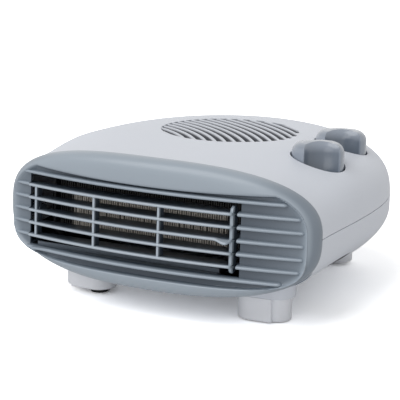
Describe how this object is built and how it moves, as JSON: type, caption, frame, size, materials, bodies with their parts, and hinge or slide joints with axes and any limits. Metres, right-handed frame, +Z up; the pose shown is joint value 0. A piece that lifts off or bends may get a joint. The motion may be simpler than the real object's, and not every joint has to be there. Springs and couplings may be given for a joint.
{
  "type": "electric fan heater",
  "caption": "Low, wide electric fan heater with a leaning oval case, ribbed front with a swinging louvre, slatted top inlet, two control knobs and four feet.",
  "frame": {"origin": "on the floor, at the centre of the bounding box", "axes": "+X to the right seen from the front; +Y from the grille to the back; +Z up"},
  "size_m": [0.256, 0.2338, 0.1248],
  "materials": {
    "shell_plastic": "satin",
    "trim_plastic": "satin gloss",
    "inner_plastic": "matte",
    "pale_plastic": "matte",
    "zinc_steel": "zinc plated",
    "motor_steel": "laminated, dull",
    "screw_steel": "zinc plated",
    "shaft_steel": "ground",
    "mica": "matte, flaky",
    "heating_alloy": "oxidised",
    "copper_wire": "lacquered",
    "sintered_bronze": "porous",
    "rubber": "matte"
  },
  "bodies": {
    "heater_body": {"top_shell": "shell_plastic", "bottom_shell": "shell_plastic", "front_bezel": "trim_plastic", "mode_switch": "inner_plastic", "thermostat_body": "pale_plastic", "control_bracket": "zinc_steel", "bracket_screws": "screw_steel", "element_end_left": "zinc_steel", "element_end_right": "zinc_steel", "mica_card_1": "mica", "mica_card_2": "mica", "mica_card_3": "mica", "mica_card_4": "mica", "mica_card_5": "mica", "heating_ribbon_1": "heating_alloy", "heating_ribbon_2": "heating_alloy", "heating_ribbon_3": "heating_alloy", "heating_ribbon_4": "heating_alloy", "thermal_cutout": "pale_plastic", "thermal_fuse": "zinc_steel", "air_duct": "zinc_steel", "scroll_housing": "inner_plastic", "scroll_cover": "inner_plastic", "scroll_screws": "screw_steel", "stator_core": "motor_steel", "coil_bobbin": "pale_plastic", "coil_winding": "copper_wire", "upper_bearing_bracket": "zinc_steel", "lower_bearing_bracket": "zinc_steel", "upper_bush": "sintered_bronze", "lower_bush": "sintered_bronze", "motor_screws": "screw_steel", "terminal_block": "pale_plastic", "cord_bush": "inner_plastic", "front_left_foot": "shell_plastic", "front_right_foot": "shell_plastic", "rear_left_foot": "shell_plastic", "rear_right_foot": "shell_plastic", "front_left_pad": "rubber", "front_right_pad": "rubber", "rear_left_pad": "rubber", "rear_right_pad": "rubber", "case_screws": "screw_steel"},
    "louvre": {"louvre_insert": "trim_plastic"},
    "mode_control": {"mode_knob": "trim_plastic", "mode_spindle": "shaft_steel"},
    "thermostat_control": {"thermostat_knob": "trim_plastic", "thermostat_spindle": "shaft_steel"},
    "fan_rotor": {"impeller": "inner_plastic", "motor_shaft": "shaft_steel", "motor_rotor": "motor_steel"}
  },
  "joints": [
    {"name": "louvre_swing", "type": "hinge", "parent": "heater_body", "child": "louvre", "pos_m": [0, -0.09395, 0.06663], "axis": [1, 0, 0], "range_deg": [-15, 15]},
    {"name": "mode_turn", "type": "hinge", "parent": "heater_body", "child": "mode_control", "pos_m": [0.0925, -0.02313, 0.09206], "axis": [0, 0.0654, 0.9979], "range_deg": [-270, 0]},
    {"name": "thermostat_turn", "type": "hinge", "parent": "heater_body", "child": "thermostat_control", "pos_m": [0.085, 0.03524, 0.08823], "axis": [0, 0.0654, 0.9979], "range_deg": [-270, 0]},
    {"name": "fan_spin", "type": "hinge", "parent": "heater_body", "child": "fan_rotor", "pos_m": [0, 0.01707, 0.06337], "axis": [0, 0.0654, 0.9979], "continuous": true}
  ]
}
